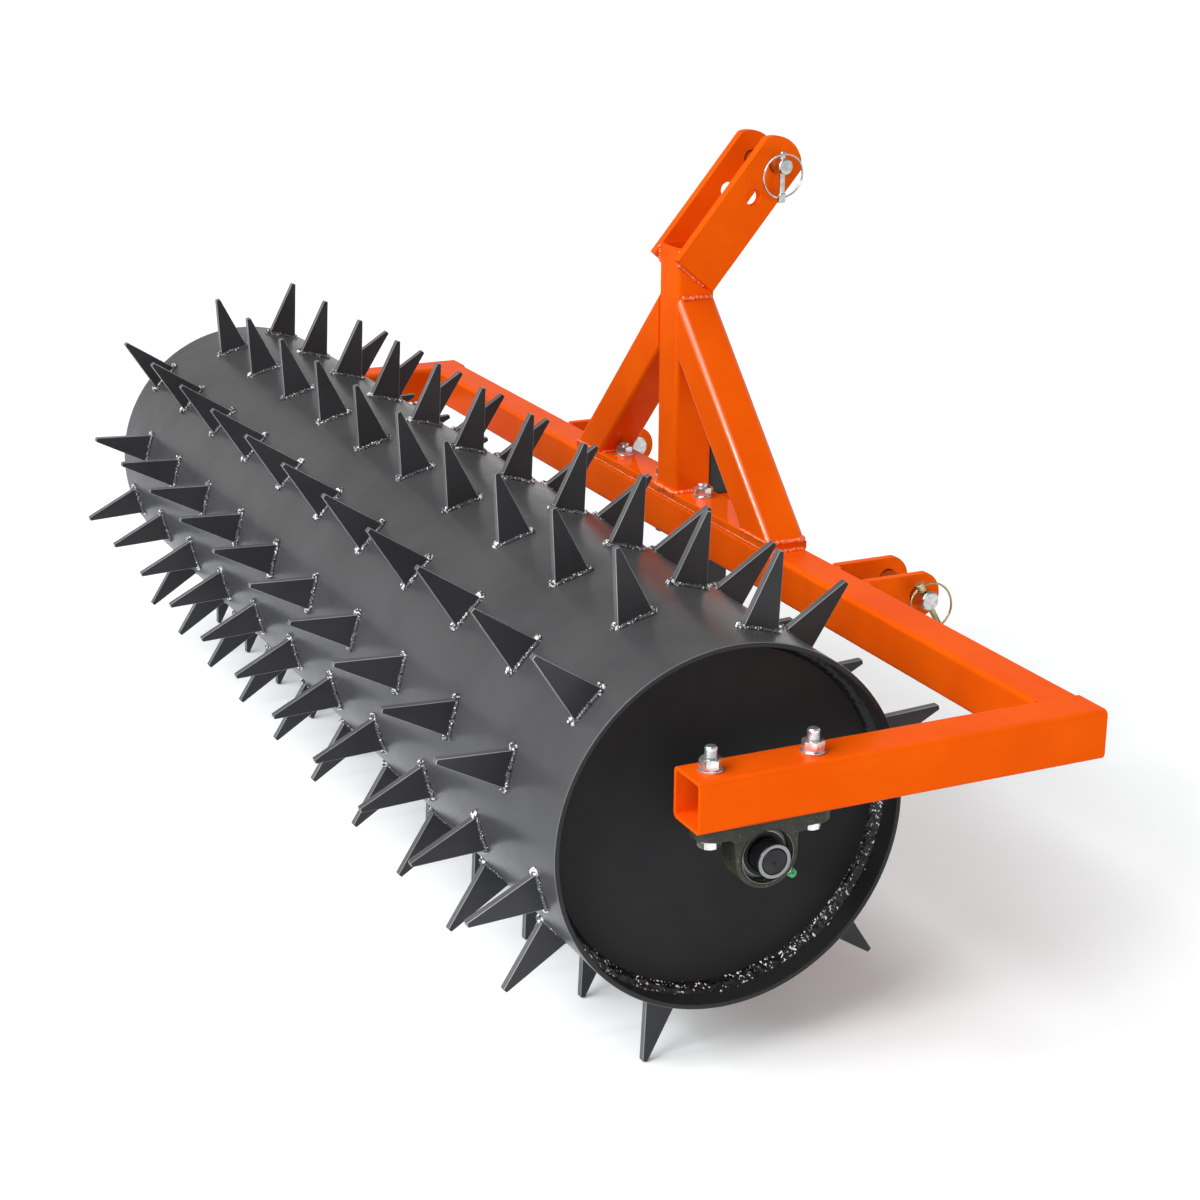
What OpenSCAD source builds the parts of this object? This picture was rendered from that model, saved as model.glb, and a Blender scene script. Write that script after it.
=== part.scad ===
// Drum spike aerator for a tractor's three-point hitch.
// +X is the right-hand side, +Y points forward to the tractor and +Z is up.
// The origin lies on the ground, in the middle of the outer box.

/* [Drum] */
// Outside diameter of the drum
drum_d = 366; // [320:1:400]
// Length of the drum from rim to rim
drum_len = 1524; // [1200:2:1800]
// Wall of the drum shell
drum_wall = 5; // [3:0.5:10]
// Depth of the end plates inside the rims
end_recess = 32; // [10:1:60]
// Thickness of the end plates
end_plate_t = 10; // [6:1:20]
// Distance from an end plate to its inner bulkhead
bulkhead_gap = 130; // [60:5:200]
// Thickness of the inner bulkheads
bulkhead_t = 8; // [5:1:16]
// Diameter of the stub shafts inside the drum
hub_shaft_d = 36; // [30:1:60]

/* [Spikes] */
// Height of a spike above the drum
spike_len = 76; // [40:1:90]
// Width of a spike where it meets the drum
spike_base = 39; // [24:1:60]
// Width of the blunt tip
spike_tip = 5; // [2:0.5:10]
// Thickness of the spike plate
spike_t = 8; // [4:0.5:12]
// Distance between spikes along a row
spike_pitch = 143; // [90:1:200]
// Least distance from the rim to a spike's middle
spike_margin = 40; // [15:1:60]

/* [Frame] */
// Width of the square frame tube
tube_w = 50.8; // [45:0.2:60]
// Wall of the square frame tube
tube_wall = 4; // [2.5:0.5:5.5]
// Outer corner radius of the square tube
tube_corner_r = 6; // [4:0.5:8]
// Gap between a drum rim and its side arm
arm_gap = 23.8; // [15:0.2:40]
// Length of the side arms behind the drum axis
arm_tail = 76; // [72:1:110]
// Distance from the drum axis to the front of the frame
frame_reach = 363; // [340:1:420]
// Thickness of the caps in the front ends of the arms
cap_t = 4; // [2:0.5:8]

/* [Bearings] */
// Shaft diameter at the bearing
shaft_d = 25; // [24:0.5:26]
// Height of the bearing axis from its foot
bearing_h = 36.5; // [36:0.5:40]
// Distance between the bearing's two bolts
bearing_bolt_pitch = 105; // [100:1:110]
// Length of the bearing foot
bearing_foot_len = 140; // [134:1:150]
// Width of the bearing foot
bearing_foot_w = 38; // [34:1:42]
// Thickness of the bearing foot at its ends
bearing_foot_t = 13; // [9:0.5:13.5]
// Radius of the round part of the housing
bearing_body_r = 32; // [30:0.5:36]
// Width of the round part of the housing
bearing_body_w = 28; // [26:1:34]
// Overlap of the shaft end past the side arm
shaft_proud = 3.4; // [1:0.2:12]
// Direction of the grease nipple, from straight ahead
nipple_angle = -40; // [-80:5:-20]

/* [Mast] */
// Thickness of the plate under the mast
base_plate_t = 10; // [6:1:16]
// Length of plate left outside each brace
base_plate_land = 1; // [0:0.5:20]
// Height of the mast post above its plate
post_h = 305; // [285:1:340]
// Distance from the middle to the outer foot of a brace
brace_foot = 264; // [220:1:320]
// Height above the plate where a brace meets the post
brace_rise = 243.7; // [180:0.1:245]
// Gap from the post to the nearer mast bolts
post_bolt_gap = 25.6; // [16:0.2:30]
// Gap from a brace to the farther mast bolts
brace_bolt_gap = 23.4; // [14:0.2:28]

/* [Top link] */
// Slope of the top link plates
link_angle = 50; // [35:1:65]
// Width of the top link plates
link_w = 63.5; // [56:0.5:76]
// Thickness of the top link plates
link_t = 12; // [6:1:16]
// Length of the top link plates
link_len = 200.5; // [185:0.5:260]
// Radius of the rounded end of the plates
link_end_r = 38; // [38:0.5:50]
// Distance of the plates' lower end behind the post's middle
link_foot_back = 8; // [0:0.2:14]
// Drop of the plates' lower end below the top of the post
link_foot_drop = 33; // [24:1:50]
// Distance from the end to the upper hole
link_hole_edge = 33; // [26:0.5:38]
// Distance between the two holes
link_hole_pitch = 49; // [40:1:60]
// Diameter of the top link pin
top_pin_d = 19; // [16:0.5:22]
// Length of the top link pin past the plate
top_pin_proud = 23; // [21:0.5:34]

/* [Lower hitch] */
// Distance from the middle to a lower hitch point
hitch_half_span = 363; // [300:1:420]
// Width of the gap for the lower link ball
hitch_gap = 56; // [44:1:70]
// Thickness of the hitch lugs
lug_t = 10; // [6:1:14]
// Distance from the frame to the lower hitch pin
lug_reach = 68; // [50:1:90]
// Radius of the rounded end of a lug
lug_end_r = 27; // [25.4:0.1:34]
// Diameter of the lower hitch pins
low_pin_d = 22; // [18:0.5:24]
// Length of a lower hitch pin past the lug
low_pin_proud = 25; // [19:0.5:34]
// Play around a hitch pin in its holes
pin_play = 0.5; // [0.2:0.1:0.8]
// Thickness of the round heads of the hitch pins
pin_head_t = 5; // [3:0.5:8]
// Overhang of a pin head around its pin
pin_head_lip = 3.5; // [2:0.5:6]

/* [Lynch pins] */
// Diameter of a lynch pin
lynch_d = 7; // [5:0.5:8]
// Length of a lynch pin from its ring's hinge to its tip
lynch_len = 55.5; // [53:0.5:62]
// Distance from the top pin's axis down to its lynch ring's hinge
lynch_hang = 38; // [32:0.5:40]
// Diameter of the lynch pin's head
lynch_head_d = 10; // [9:0.5:13]
// Height of the lynch pin's head
lynch_head_h = 11; // [8:0.5:14]
// Middle radius of the lynch ring
lynch_ring_r = 26.5; // [26:0.5:30]
// Wire diameter of the lynch ring
lynch_wire_d = 2.5; // [2:0.1:3]
// Turn of the lower lynch pins from hanging straight down
lynch_turn = -150; // [-180:1:-120]

/* [Stand] */
// Width of the square stand leg
leg_w = 28; // [24:1:32]
// Wall of the stand leg
leg_wall = 3; // [2:0.5:4]
// Length of the stand leg above its foot
leg_len = 480; // [420:5:540]
// Clearance between the leg and its sleeve
leg_play = 0.3; // [0.2:0.05:0.5]
// Wall of the stand sleeve
sleeve_wall = 3.7; // [3:0.1:6]
// Height of the stand sleeve
sleeve_h = 60; // [40:1:80]
// Width of the square foot plate
foot_w = 90; // [60:1:95]
// Thickness of the foot plate
foot_t = 6; // [4:0.5:10]
// Diameter of the clamp screw
clamp_d = 10; // [8:0.5:12]
// Length of the clamp screw in front of its nut
clamp_reach = 16; // [14:0.5:30]
// Length of the clamp screw's cross bar
clamp_bar_len = 70; // [50:1:90]

/* [Fasteners] */
// Diameter of the frame bolts
bolt_d = 12; // [10:0.5:12.5]
// Clearance around a bolt in its hole
bolt_play = 0.5; // [0.3:0.1:0.8]
// Height of a bolt head
bolt_head_h = 7.5; // [6:0.5:9]
// Width across the flats of nuts and heads
nut_af = 19; // [18:0.5:20]
// Height of a nut
nut_h = 10; // [8:0.5:12]
// Diameter of a washer
washer_d = 24; // [22:0.5:26]
// Thickness of a washer
washer_t = 2.5; // [1.5:0.1:3]
// Thread left above the nuts of the bearing bolts
bearing_thread = 11; // [4:0.5:14]
// Thread left above the nuts of the mast bolts
mast_thread = 5; // [2:0.5:10]

/* [Hidden] */
$fn = 64;
eps = 0.05;
big = 3000;

// Rows of spikes, evenly spaced, with the drum standing on two of them
rows = 12;
row_step = 360 / rows;
row_first = row_step / 2;

half_drum = drum_len / 2;
drum_r = drum_d / 2;
drum_in_r = drum_r - drum_wall;
end_plate_x = half_drum - end_recess;
bulkhead_x = end_plate_x - end_plate_t - bulkhead_gap;
tip_r = drum_r + spike_len;
long_row_n = floor((drum_len - 2 * spike_margin) / spike_pitch) + 1;

// Tubes of the frame, measured from the drum axis
arm_in = half_drum + arm_gap;
arm_mid = arm_in + tube_w / 2;
arm_out = arm_in + tube_w;
arm_low = bearing_h;
arm_top = bearing_h + tube_w;
cross_mid = frame_reach - tube_w / 2;
cross_rear = frame_reach - tube_w;
shaft_end = arm_out + shaft_proud;

// Mast
plate_top = arm_top + base_plate_t;
post_top = plate_top + post_h;
post_side = tube_w / 2;
brace_angle = atan2(brace_rise, brace_foot - post_side);
brace_cut = tube_w / sin(brace_angle);
mast_bolts_x = [post_side + post_bolt_gap, brace_foot - brace_cut - brace_bolt_gap];

// Top link plates
link_foot = [cross_mid - link_foot_back, post_top - link_foot_drop];
link_end_at = link_len - link_end_r;
top_hole_at = link_len - link_hole_edge;
link_out = post_side + link_t;
function along_link(s) = [link_foot.x + s * cos(link_angle), link_foot.y + s * sin(link_angle)];
top_pin_yz = along_link(top_hole_at);
link_tip = along_link(link_end_at);

// Lower hitch
lug_mid_z = arm_low + tube_w / 2;
low_pin_yz = [frame_reach + lug_reach, lug_mid_z];
lug_in = hitch_half_span - hitch_gap / 2;
lug_out = hitch_half_span + hitch_gap / 2 + lug_t;

// Outer box, so that the origin is in its middle on the ground
axis_z = tip_r * cos(row_first) + spike_tip / 2 * sin(row_first);
front_y = max(link_tip.x + link_end_r, low_pin_yz.x + lug_end_r);
axis_y = -(front_y - axis_z) / 2;

// Bearing insert
ball_r = 3.97;
ball_n = 9;
ball_gap = 0.05;
ball_pitch_r = shaft_d / 2 + 7;
race_wall_r = shaft_d / 2 + 4.5;
outer_bore_r = shaft_d / 2 + 9.5;
insert_r = shaft_d / 2 + 13.5;
insert_w = 17;
seat_play = 0.05;
housing_bore_r = insert_r - 1.7;
housing_mouth_x = 11;
inner_ring_in = 14.3;
inner_ring_out = tube_w / 2 + shaft_proud - 0.3;
seal_x = 7.2;
seal_t = 1.2;
seal_play = 0.3;
cage_w = 10.4;
cage_t = 1.6;
ball_window = 0.2;
grub_x = inner_ring_out - 5.5;
grub_turns = [150, 212];
grub_r = 3;
shaft_play = 0.02;
nipple_x = 6;
nipple_r = 3;
nipple_hex_h = 4.4;
nipple_out = 9;
cap_r = 4.7;
cap_h = 8;

// Hitch pins and lynch pins
pin_gap = 0.3;
lynch_from_end = 10;
top_lynch_x = link_out + top_pin_proud - lynch_from_end;
low_lynch_x = lug_out + low_pin_proud - lynch_from_end;
lynch_rest = low_pin_d / 2 + lynch_head_h / 2 + 0.5;
lynch_play = 0.1;
lynch_lean = 6;
lynch_eye_r = lynch_wire_d / 2 + 0.75;

// Stand
sleeve_bore = leg_w + 2 * leg_play;
sleeve_w = sleeve_bore + 2 * sleeve_wall;
leg_y = frame_reach + sleeve_w / 2;
leg_low = foot_t - axis_z;
clamp_z = arm_top - sleeve_h / 2;
clamp_nut_t = 8;
clamp_bar_d = 8;
clamp_collar = 8;
sleeve_front = frame_reach + sleeve_w;

PAINT = "orangered";
DRUM = "dimgray";
SPIKE = "#303030";
ZINC = "silver";
CAST = "darkolivegreen";
BLACK = "#181818";

// Moves a piece drawn from the drum axis to its place above the ground
module at_axis() { translate([0, axis_y, axis_z]) children(); }

// Draws a piece of the right-hand side, and its mirror image on the left
module both_sides() {
    children();
    mirror([1, 0, 0]) children();
}

// Square outline with round corners
module soft_square(w, r) {
    square([w - 2 * r, w], center = true);
    square([w, w - 2 * r], center = true);
    for (x = [-1, 1], y = [-1, 1]) translate([x, y] * (w / 2 - r)) circle(r);
}

// Square tube along +Z, from z = 0
module square_tube(w, wall, r, h) {
    linear_extrude(h) difference() {
        soft_square(w, r);
        soft_square(w - 2 * wall, max(r - wall, 0.5));
    }
}

module frame_tube(h) { square_tube(tube_w, tube_wall, tube_corner_r, h); }

// Round bar or disc along X
module x_bar(r, x0, x1) {
    translate([x0, 0, 0]) rotate([0, 90, 0]) cylinder(r = r, h = x1 - x0);
}

// Plate drawn in the YZ plane, from x0 towards +X
module yz_plate(x0, t) {
    translate([x0, 0, 0]) rotate([90, 0, 90]) linear_extrude(t) children();
}

module hexagon_bar(af, h) { cylinder(r = af / sqrt(3), h = h, $fn = 6); }

// Frame

module cross_tube() {
    color(PAINT) difference() {
        translate([-arm_in, cross_mid, arm_low + tube_w / 2]) rotate([0, 90, 0]) frame_tube(2 * arm_in);
        both_sides() for (x = mast_bolts_x)
            translate([x, cross_mid, 0]) cylinder(r = bolt_d / 2 + bolt_play, h = big);
    }
}

module side_arm() {
    color(PAINT) difference() {
        translate([arm_mid, frame_reach, arm_low + tube_w / 2]) rotate([90, 0, 0])
            frame_tube(frame_reach + arm_tail);
        for (y = [-1, 1] * bearing_bolt_pitch / 2)
            translate([arm_mid, y, 0]) cylinder(r = bolt_d / 2 + bolt_play, h = big);
    }
}

module arm_front_cap() {
    cap_w = tube_w - 2 * tube_wall - 2 * eps;
    translate([arm_mid, frame_reach, arm_low + tube_w / 2]) rotate([90, 0, 0])
        linear_extrude(cap_t) soft_square(cap_w, max(tube_corner_r - tube_wall, 0.5));
}

module arm_front_caps() { color(PAINT) both_sides() arm_front_cap(); }

module mast_base_plate() {
    plate_half = brace_foot + base_plate_land;
    color(PAINT) difference() {
        translate([-plate_half, cross_rear, arm_top]) cube([2 * plate_half, tube_w, base_plate_t]);
        both_sides() for (x = mast_bolts_x)
            translate([x, cross_mid, 0]) cylinder(r = bolt_d / 2 + bolt_play, h = big);
    }
}

module mast_post() { color(PAINT) translate([0, cross_mid, plate_top]) frame_tube(post_h); }

// A brace leans in to the post, cut level at its foot and upright at its top
module mast_brace() {
    color(PAINT) intersection() {
        translate([brace_foot, cross_mid, plate_top]) rotate([0, brace_angle - 90, 0])
            translate([-tube_w / 2, 0, -big / 4]) frame_tube(big / 2);
        translate([post_side, 0, plate_top]) cube(big / 2);
    }
}

// Flat bar, cut square at its foot and round at its end, with two pin holes
module link_outline() {
    difference() {
        intersection() {
            translate([0, -link_w / 2]) square([link_len, link_w]);
            union() {
                translate([0, -link_w]) square([link_end_at, 2 * link_w]);
                translate([link_end_at, 0]) circle(link_end_r);
            }
        }
        for (s = [top_hole_at, top_hole_at - link_hole_pitch])
            translate([s, 0]) circle(top_pin_d / 2 + pin_play);
    }
}

module top_link_plate() {
    color(PAINT) yz_plate(post_side, link_t) translate(link_foot) rotate(link_angle) link_outline();
}

// Hitch lug as tall as the frame tube, round at its front end
module lug_outline() {
    difference() {
        intersection() {
            translate([frame_reach, arm_low]) square([lug_reach + lug_end_r, tube_w]);
            union() {
                translate([frame_reach, arm_low - tube_w]) square([lug_reach, 3 * tube_w]);
                translate(low_pin_yz) circle(lug_end_r);
            }
        }
        translate(low_pin_yz) circle(low_pin_d / 2 + pin_play);
    }
}

module hitch_lug(x0) { color(PAINT) yz_plate(x0, lug_t) lug_outline(); }

// Bolts, nuts and washers

module frame_bolt(low, top) {
    translate([0, 0, low - bolt_head_h]) hexagon_bar(nut_af, bolt_head_h);
    translate([0, 0, low - eps]) cylinder(r = bolt_d / 2, h = top - low + eps - 1);
    translate([0, 0, top - 1]) cylinder(r1 = bolt_d / 2, r2 = bolt_d / 2 - 1, h = 1);
}

module frame_nut(low) {
    translate([0, 0, low]) difference() {
        hexagon_bar(nut_af, nut_h);
        translate([0, 0, -1]) cylinder(r = bolt_d / 2 + eps, h = nut_h + 2);
    }
}

module frame_washer(low) {
    translate([0, 0, low]) difference() {
        cylinder(r = washer_d / 2, h = washer_t);
        translate([0, 0, -1]) cylinder(r = bolt_d / 2 + bolt_play, h = washer_t + 2);
    }
}

module at_mast_bolts() {
    both_sides() for (x = mast_bolts_x) translate([x, cross_mid, 0]) children();
}

module at_bearing_bolts() {
    both_sides() for (y = [-1, 1] * bearing_bolt_pitch / 2) translate([arm_mid, y, 0]) children();
}

module mast_bolts() {
    color(ZINC) at_mast_bolts()
        frame_bolt(arm_low - washer_t, plate_top + washer_t + nut_h + mast_thread);
}

module bearing_bolts() {
    color(ZINC) at_bearing_bolts()
        frame_bolt(arm_low - bearing_foot_t - washer_t, arm_top + washer_t + nut_h + bearing_thread);
}

module hex_nuts() {
    color(ZINC) at_mast_bolts() frame_nut(plate_top + washer_t);
    color(ZINC) at_bearing_bolts() frame_nut(arm_top + washer_t);
}

module flat_washers() {
    color(ZINC) at_mast_bolts() frame_washer(plate_top);
    color(ZINC) at_mast_bolts() frame_washer(arm_low - washer_t);
    color(ZINC) at_bearing_bolts() frame_washer(arm_top);
    color(ZINC) at_bearing_bolts() frame_washer(arm_low - bearing_foot_t - washer_t);
}

// Bearings, drawn about the middle of the right-hand one

module at_bearing() { translate([arm_mid, 0, 0]) children(); }

// Slot for a foot bolt, with room to line the shaft up
module foot_slot() {
    slot_r = bolt_d / 2 + bolt_play;
    for (y = [-3, 3]) translate([0, y, 0]) cylinder(r = slot_r, h = big, center = true);
    cube([2 * slot_r, 6, big], center = true);
}

// Cast pillow block, hung upside down with its foot against the arm
module bearing_foot() {
    half = bearing_foot_len / 2;
    shoulder = 36;
    lift = 4;
    slope = 3.5;
    low = bearing_h - bearing_foot_t;
    end_r = bearing_foot_w / 2;
    intersection() {
        yz_plate(-bearing_foot_w, 2 * bearing_foot_w) polygon([
            [-half - 1, bearing_h], [half + 1, bearing_h], [half + 1, low], [shoulder + slope, low],
            [shoulder, low - lift], [-shoulder, low - lift], [-shoulder - slope, low], [-half - 1, low]
        ]);
        linear_extrude(bearing_h + 1) union() {
            square([bearing_foot_w, bearing_foot_len - bearing_foot_w], center = true);
            for (y = [-1, 1]) translate([0, y * (half - end_r)]) circle(end_r);
        }
    }
}

module bearing_body() {
    flare = 2;
    yz_plate(-bearing_body_w / 2, bearing_body_w) {
        circle(bearing_body_r);
        polygon([
            [-bearing_body_r, 0], [bearing_body_r, 0],
            [bearing_body_r + flare, bearing_h - 1], [-bearing_body_r - flare, bearing_h - 1]
        ]);
    }
    collar_w = bearing_body_w + 4;
    x_bar(bearing_body_r - 1, -collar_w / 2, collar_w / 2);
}

module bearing_housing() {
    color(CAST) at_bearing() difference() {
        union() {
            bearing_foot();
            bearing_body();
        }
        rotate([0, 90, 0]) sphere(insert_r + seat_play);
        x_bar(housing_bore_r, -big / 2, big / 2);
        for (x = [housing_mouth_x, -big / 2]) x_bar(insert_r + 0.2, x, x + big / 2 - housing_mouth_x);
        rotate([nipple_angle, 0, 0]) rotate([-90, 0, 0]) translate([nipple_x, 0, 0])
            cylinder(r = nipple_r + eps, h = big / 2);
        for (y = [-1, 1] * bearing_bolt_pitch / 2) translate([0, y, 0]) foot_slot();
    }
}

// Deep groove for the balls, run once round the shaft
module ball_groove() {
    rotate([0, 90, 0]) rotate_extrude() translate([ball_pitch_r, 0]) circle(ball_r + ball_gap);
}

module bearing_outer_ring() {
    color(ZINC) at_bearing() difference() {
        intersection() {
            rotate([0, 90, 0]) sphere(insert_r);
            x_bar(insert_r, -insert_w / 2, insert_w / 2);
        }
        x_bar(outer_bore_r, -insert_w, insert_w);
        ball_groove();
    }
}

module bearing_inner_ring() {
    color(ZINC) at_bearing() difference() {
        x_bar(race_wall_r, -inner_ring_in, inner_ring_out);
        x_bar(shaft_d / 2 + shaft_play, -2 * inner_ring_in, 2 * inner_ring_out);
        ball_groove();
        for (a = grub_turns) rotate([a, 0, 0]) translate([grub_x, 0, 0])
            cylinder(r = grub_r + eps, h = big / 2);
    }
}

module bearing_balls() {
    color(ZINC) at_bearing() for (i = [0 : ball_n - 1])
        rotate([i * 360 / ball_n, 0, 0]) translate([0, 0, ball_pitch_r]) sphere(ball_r);
    color(ZINC) at_bearing() difference() {
        x_bar(ball_pitch_r + cage_t / 2, -cage_w / 2, cage_w / 2);
        x_bar(ball_pitch_r - cage_t / 2, -cage_w, cage_w);
        for (i = [0 : ball_n - 1])
            rotate([i * 360 / ball_n, 0, 0]) translate([0, 0, ball_pitch_r]) sphere(ball_r + ball_window);
    }
}

module bearing_seals() {
    color(BLACK) both_sides() at_bearing() for (x = [seal_x, -seal_x - seal_t]) difference() {
        x_bar(outer_bore_r - eps, x, x + seal_t);
        x_bar(race_wall_r + seal_play, x - 1, x + seal_t + 1);
    }
}

module bearing_set_screws() {
    color(ZINC) both_sides() at_bearing() for (a = grub_turns)
        rotate([a, 0, 0]) translate([grub_x, 0, shaft_d / 2 + shaft_play + eps])
            cylinder(r = grub_r, h = race_wall_r - shaft_d / 2 - 0.5);
}

// Stands on the housing, pointing away from the shaft
module at_nipple() {
    both_sides() at_bearing() rotate([nipple_angle, 0, 0]) rotate([-90, 0, 0])
        translate([nipple_x, 0, bearing_body_r]) children();
}

module grease_nipples() {
    stem_h = bearing_body_r - insert_r - 1;
    color(ZINC) at_nipple() {
        translate([0, 0, -stem_h]) cylinder(r = nipple_r, h = stem_h + 1);
        hexagon_bar(2 * nipple_r + 2, nipple_hex_h);
        cylinder(r = nipple_r - 0.6, h = nipple_out - 1.5);
        translate([0, 0, nipple_out - 2.6]) sphere(nipple_r - 0.2);
    }
}

module grease_caps() {
    rim = nipple_hex_h + 0.2;
    color("seagreen") at_nipple() difference() {
        intersection() {
            translate([0, 0, rim]) cylinder(r = cap_r, h = cap_h);
            translate([0, 0, rim + cap_h - cap_r - 1]) sphere(cap_r + 1);
        }
        cylinder(r = nipple_r, h = nipple_out + 1);
    }
}

// Drum

module drum_shell() {
    color(DRUM) difference() {
        x_bar(drum_r, -half_drum, half_drum);
        x_bar(drum_in_r, -big / 2, big / 2);
    }
}

module drum_disc(x0, t) {
    difference() {
        x_bar(drum_in_r - eps, x0 - t, x0);
        x_bar(hub_shaft_d / 2 + shaft_play, x0 - 2 * t, x0 + t);
    }
}

module drum_end_plate() { color(SPIKE) drum_disc(end_plate_x, end_plate_t); }

module drum_bulkheads() { color(SPIKE) both_sides() drum_disc(bulkhead_x, bulkhead_t); }

// Runs from behind the bulkhead, through the end plate, to the bearing
module stub_shaft() {
    shoulder_x = arm_mid - inner_ring_in;
    chamfer = 1;
    color(BLACK) {
        x_bar(hub_shaft_d / 2, bulkhead_x - bulkhead_t - 20, end_plate_x + 12);
        x_bar(shaft_d / 2 + 3, end_plate_x, shoulder_x - 0.5);
        x_bar(shaft_d / 2, end_plate_x, shaft_end - chamfer);
        translate([shaft_end - chamfer, 0, 0]) rotate([0, 90, 0])
            cylinder(r1 = shaft_d / 2, r2 = shaft_d / 2 - chamfer, h = chamfer);
    }
}

// Flat spike plate, square across the drum, with its base cut to the drum
module spike_outline() {
    foot_r = sqrt(drum_r * drum_r - spike_base * spike_base / 4);
    difference() {
        polygon([
            [foot_r, -spike_base / 2], [tip_r, -spike_tip / 2],
            [tip_r, spike_tip / 2], [foot_r, spike_base / 2]
        ]);
        circle(drum_r, $fn = 256);
    }
}

// Even rows have one spike fewer and stand half a pitch over
module spike_row(row) {
    n = row % 2 == 0 ? long_row_n : long_row_n - 1;
    for (i = [0 : n - 1])
        rotate([row_first + row * row_step, 0, 0])
            yz_plate((i - (n - 1) / 2) * spike_pitch - spike_t / 2, spike_t) spike_outline();
}

module spike_rows(row) {
    color(SPIKE) {
        spike_row(row);
        spike_row(row + rows / 2);
    }
}

// Hitch pins, with a round head on the inner side and a lynch pin outside

module hitch_pin(d, x0, x1, lynch_x, turn) {
    chamfer = 1.5;
    difference() {
        union() {
            x_bar(d / 2 + pin_head_lip, x0 - pin_head_t, x0);
            x_bar(d / 2, x0 - eps, x1 - chamfer);
            translate([x1 - chamfer, 0, 0]) rotate([0, 90, 0])
                cylinder(r1 = d / 2, r2 = d / 2 - chamfer, h = chamfer);
        }
        rotate([turn, 0, 0]) translate([lynch_x, 0, 0])
            cylinder(r = lynch_d / 2 + lynch_play, h = 4 * d, center = true);
    }
}

// Drawn from the eye in its head, which holds the ring, up to its tip
module lynch_pin() {
    nose = 1.5;
    color(ZINC) difference() {
        union() {
            translate([0, 0, -lynch_head_h / 2]) cylinder(r = lynch_head_d / 2, h = lynch_head_h);
            cylinder(r = lynch_d / 2, h = lynch_len - nose);
            translate([0, 0, lynch_len - nose]) cylinder(r1 = lynch_d / 2, r2 = lynch_d / 2 - nose, h = nose);
        }
        rotate([90, 0, 0]) cylinder(r = lynch_eye_r, h = big, center = true);
    }
}

// Round the hitch pin's end, leaning out past the lynch pin's tip
module lynch_ring() {
    color(ZINC) rotate([0, lynch_lean, 0]) translate([0, 0, lynch_ring_r]) rotate([0, 90, 0])
        rotate_extrude() translate([lynch_ring_r, 0]) circle(lynch_wire_d / 2);
}

module at_top_pin() { translate([0, top_pin_yz.x, top_pin_yz.y]) children(); }

module at_low_pin() { translate([0, low_pin_yz.x, low_pin_yz.y]) children(); }

// The top lynch pin hangs in its hole, and the lower ones rest on their heads
module at_top_lynch() { at_top_pin() translate([top_lynch_x, 0, -lynch_hang]) children(); }

module at_low_lynch() {
    at_low_pin() rotate([lynch_turn, 0, 0]) translate([low_lynch_x, 0, -lynch_rest]) children();
}

module top_link_pin() {
    color(ZINC) at_top_pin()
        hitch_pin(top_pin_d, -link_out - pin_gap, link_out + top_pin_proud, top_lynch_x, 0);
}

module lower_hitch_pin() {
    color(ZINC) at_low_pin()
        hitch_pin(low_pin_d, lug_in - lug_t - pin_gap, lug_out + low_pin_proud, low_lynch_x, lynch_turn);
}

// Parking stand

module stand_sleeve() {
    color(PAINT) translate([0, leg_y, arm_top - sleeve_h]) difference() {
        square_tube(sleeve_w, sleeve_wall, 2 * leg_play + 2, sleeve_h);
        translate([0, 0, sleeve_h / 2]) rotate([-90, 0, 0])
            cylinder(r = clamp_d / 2 + eps, h = big);
    }
}

module clamp_nut() {
    color(PAINT) translate([0, sleeve_front, clamp_z]) rotate([-90, 0, 0]) difference() {
        hexagon_bar(clamp_d * 1.7, clamp_nut_t);
        translate([0, 0, -1]) cylinder(r = clamp_d / 2 + eps, h = clamp_nut_t + 2);
    }
}

module clamp_screw() {
    start = leg_y + leg_w / 2 + leg_play;
    bar_y = sleeve_front + clamp_nut_t + clamp_reach;
    color(ZINC) difference() {
        translate([0, start, clamp_z]) rotate([-90, 0, 0]) {
            cylinder(r = clamp_d / 2, h = bar_y - start);
            translate([0, 0, bar_y - start - clamp_collar])
                cylinder(r = clamp_d / 2 + 3, h = 2 * clamp_collar);
        }
        translate([0, bar_y, clamp_z]) x_bar(clamp_bar_d / 2 + eps, -big / 2, big / 2);
    }
}

module clamp_bar() {
    bar_y = sleeve_front + clamp_nut_t + clamp_reach;
    color(ZINC) translate([0, bar_y, clamp_z]) x_bar(clamp_bar_d / 2, -clamp_bar_len / 2, clamp_bar_len / 2);
}

module stand_leg() {
    color(BLACK) translate([0, leg_y, leg_low]) square_tube(leg_w, leg_wall, 2, leg_len);
}

module stand_foot() {
    color(BLACK) translate([0, leg_y, leg_low - foot_t]) linear_extrude(foot_t) soft_square(foot_w, 6);
}

at_axis() cross_tube();
at_axis() side_arm();  // side_arm_right
at_axis() mirror([1, 0, 0]) side_arm();  // side_arm_left
at_axis() arm_front_caps();
at_axis() mast_base_plate();
at_axis() mast_post();
at_axis() mast_brace();  // mast_brace_right
at_axis() mirror([1, 0, 0]) mast_brace();  // mast_brace_left
at_axis() top_link_plate();  // top_link_plate_right
at_axis() mirror([1, 0, 0]) top_link_plate();  // top_link_plate_left
at_axis() hitch_lug(lug_out - lug_t);  // hitch_lug_right_outer
at_axis() hitch_lug(lug_in - lug_t);  // hitch_lug_right_inner
at_axis() mirror([1, 0, 0]) hitch_lug(lug_in - lug_t);  // hitch_lug_left_inner
at_axis() mirror([1, 0, 0]) hitch_lug(lug_out - lug_t);  // hitch_lug_left_outer
at_axis() mast_bolts();
at_axis() bearing_bolts();
at_axis() hex_nuts();
at_axis() flat_washers();
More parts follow.
